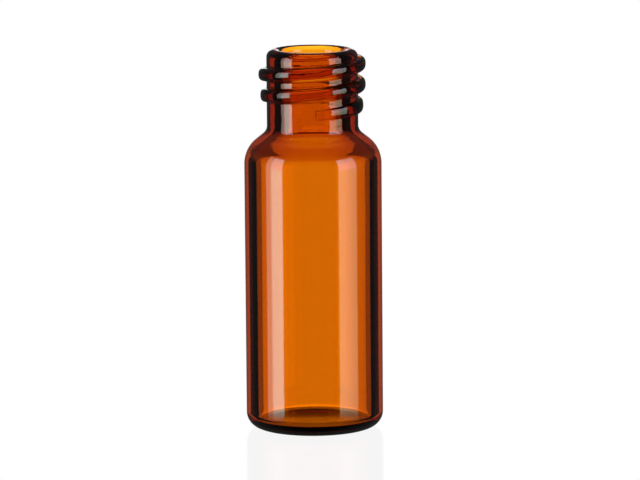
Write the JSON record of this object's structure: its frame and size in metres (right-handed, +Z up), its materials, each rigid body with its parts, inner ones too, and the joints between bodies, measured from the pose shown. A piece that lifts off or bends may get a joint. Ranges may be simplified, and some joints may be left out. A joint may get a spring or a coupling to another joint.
{
  "type": "amber glass screw-neck sample vial",
  "caption": "Small cylindrical amber glass vial with a rounded shoulder and an open screw-thread neck, for holding liquid samples shielded from light.",
  "frame": {"origin": "centre of the base, on the plane of the ring that the vial stands on", "axes": "+Z up along the vial's axis, out of the mouth; the thread's lower end is at the front, towards -Y"},
  "size_m": [0.0116, 0.0116, 0.032],
  "materials": {
    "amber_glass": "clear amber glass, fire polished"
  },
  "bodies": {
    "root": {"vial": "amber_glass"}
  },
  "joints": []
}
